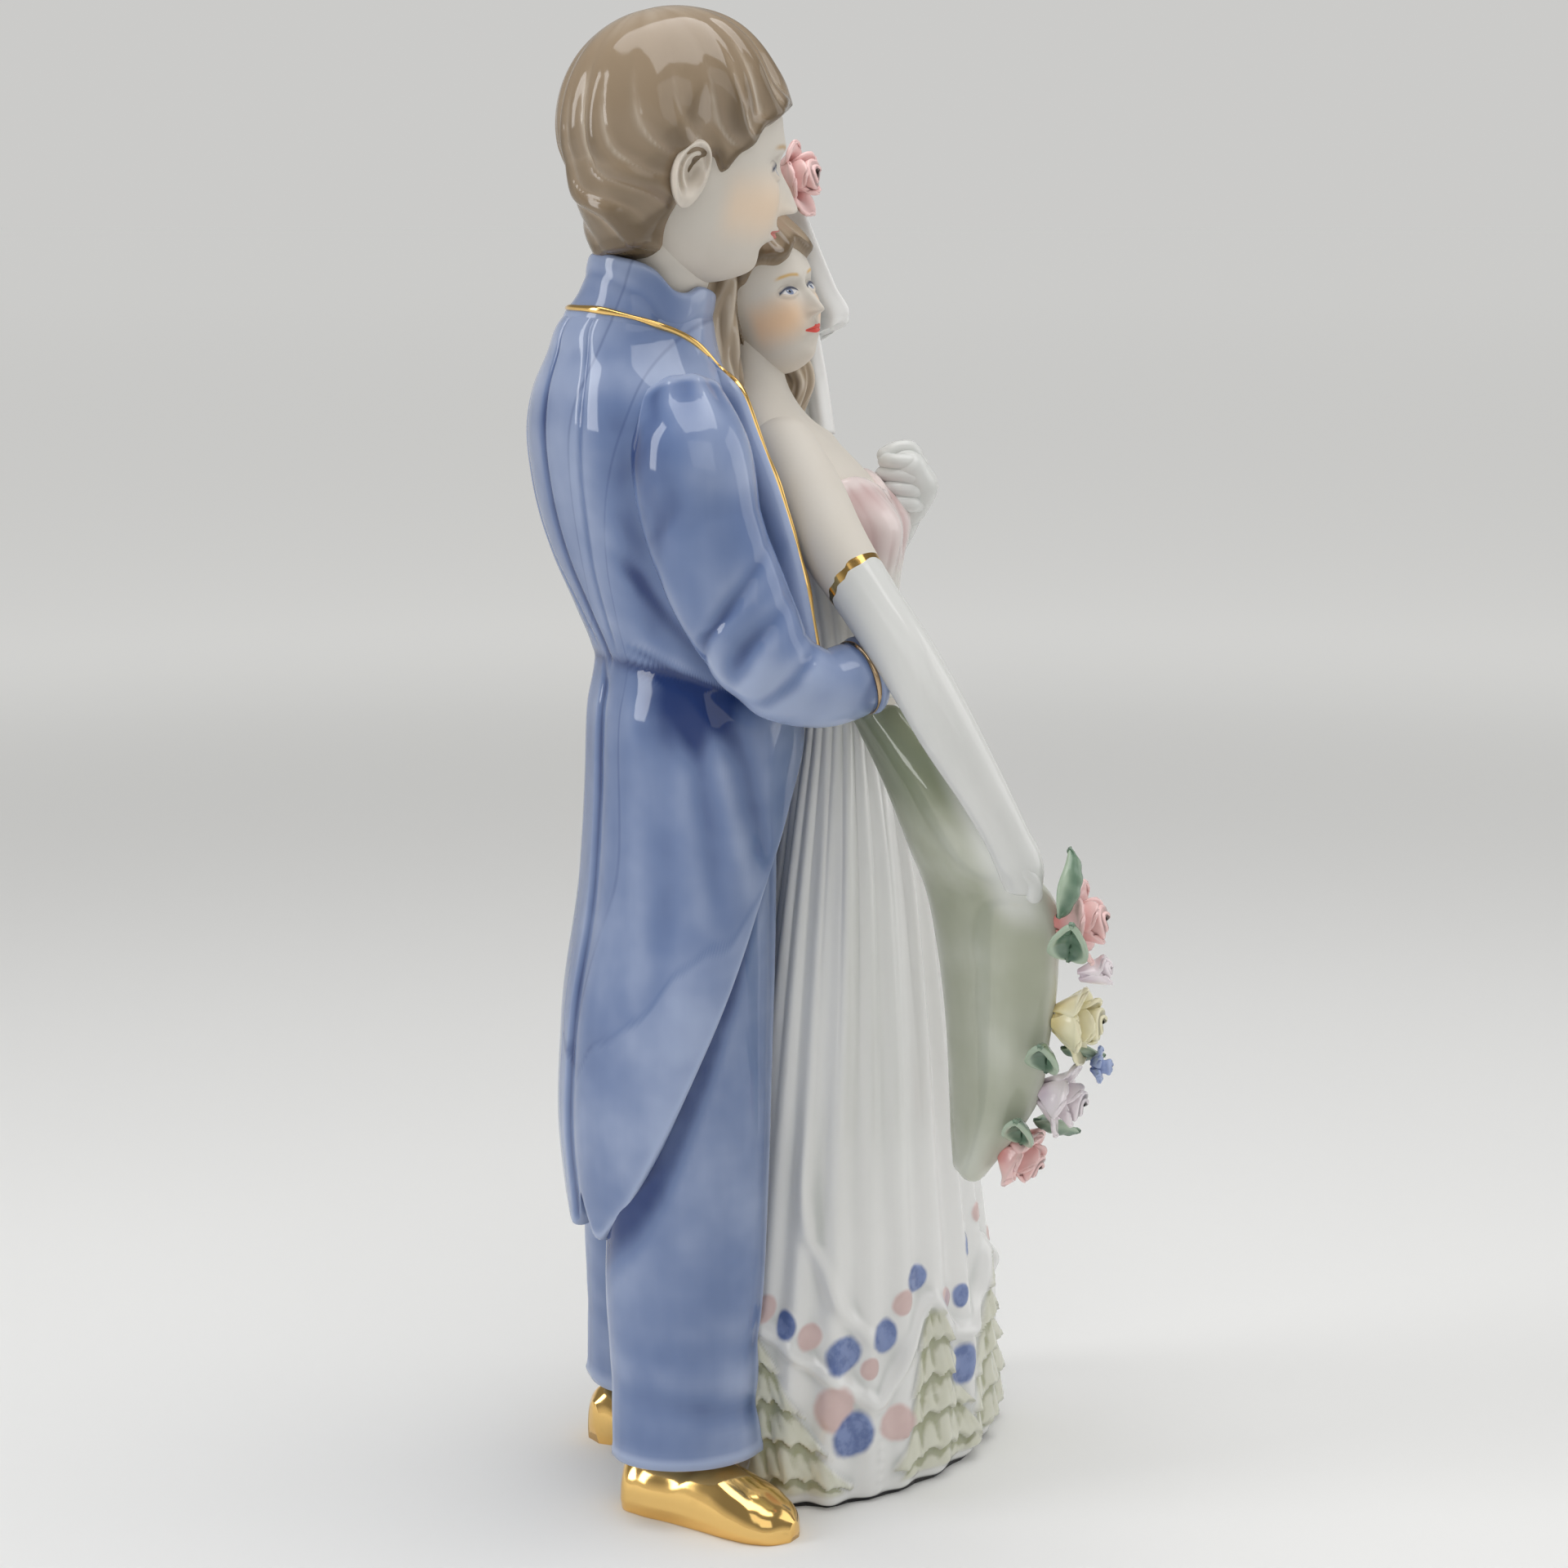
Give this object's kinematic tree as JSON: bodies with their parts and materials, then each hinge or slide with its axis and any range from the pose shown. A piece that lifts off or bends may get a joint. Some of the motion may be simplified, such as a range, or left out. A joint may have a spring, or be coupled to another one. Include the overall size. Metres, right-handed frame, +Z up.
{
  "type": "wedding couple figurine",
  "caption": "Glazed porcelain figurine of a groom in a tailcoat behind a bride in a ball gown with applied roses, on a felt-covered foot.",
  "frame": {"origin": "on the shelf under the gown's foot, on the felt pad's underside, near the middle of the whole group", "axes": "+Z up, +X the way the couple looks, +Y towards their left"},
  "size_m": [0.1181, 0.1113, 0.3058],
  "materials": {
    "porcelain": "glossy glaze, blue, pink, sage, taupe and gold painted, skin matt",
    "pink_glaze": "glossy glaze",
    "yellow_glaze": "glossy glaze",
    "lilac_glaze": "glossy glaze",
    "blue_glaze": "glossy glaze",
    "green_glaze": "glossy glaze",
    "felt": "matt"
  },
  "bodies": {
    "root": {"couple": "porcelain", "hair_rose": "pink_glaze", "rose_pink_top": "pink_glaze", "rose_yellow": "yellow_glaze", "rose_lilac": "lilac_glaze", "rose_pink_bottom": "pink_glaze", "lilac_bud": "lilac_glaze", "blue_flower": "blue_glaze", "leaf_1": "green_glaze", "leaf_2": "green_glaze", "leaf_3": "green_glaze", "leaf_4": "green_glaze", "leaf_5": "green_glaze", "leaf_6": "green_glaze", "felt_pad": "felt"}
  },
  "joints": []
}
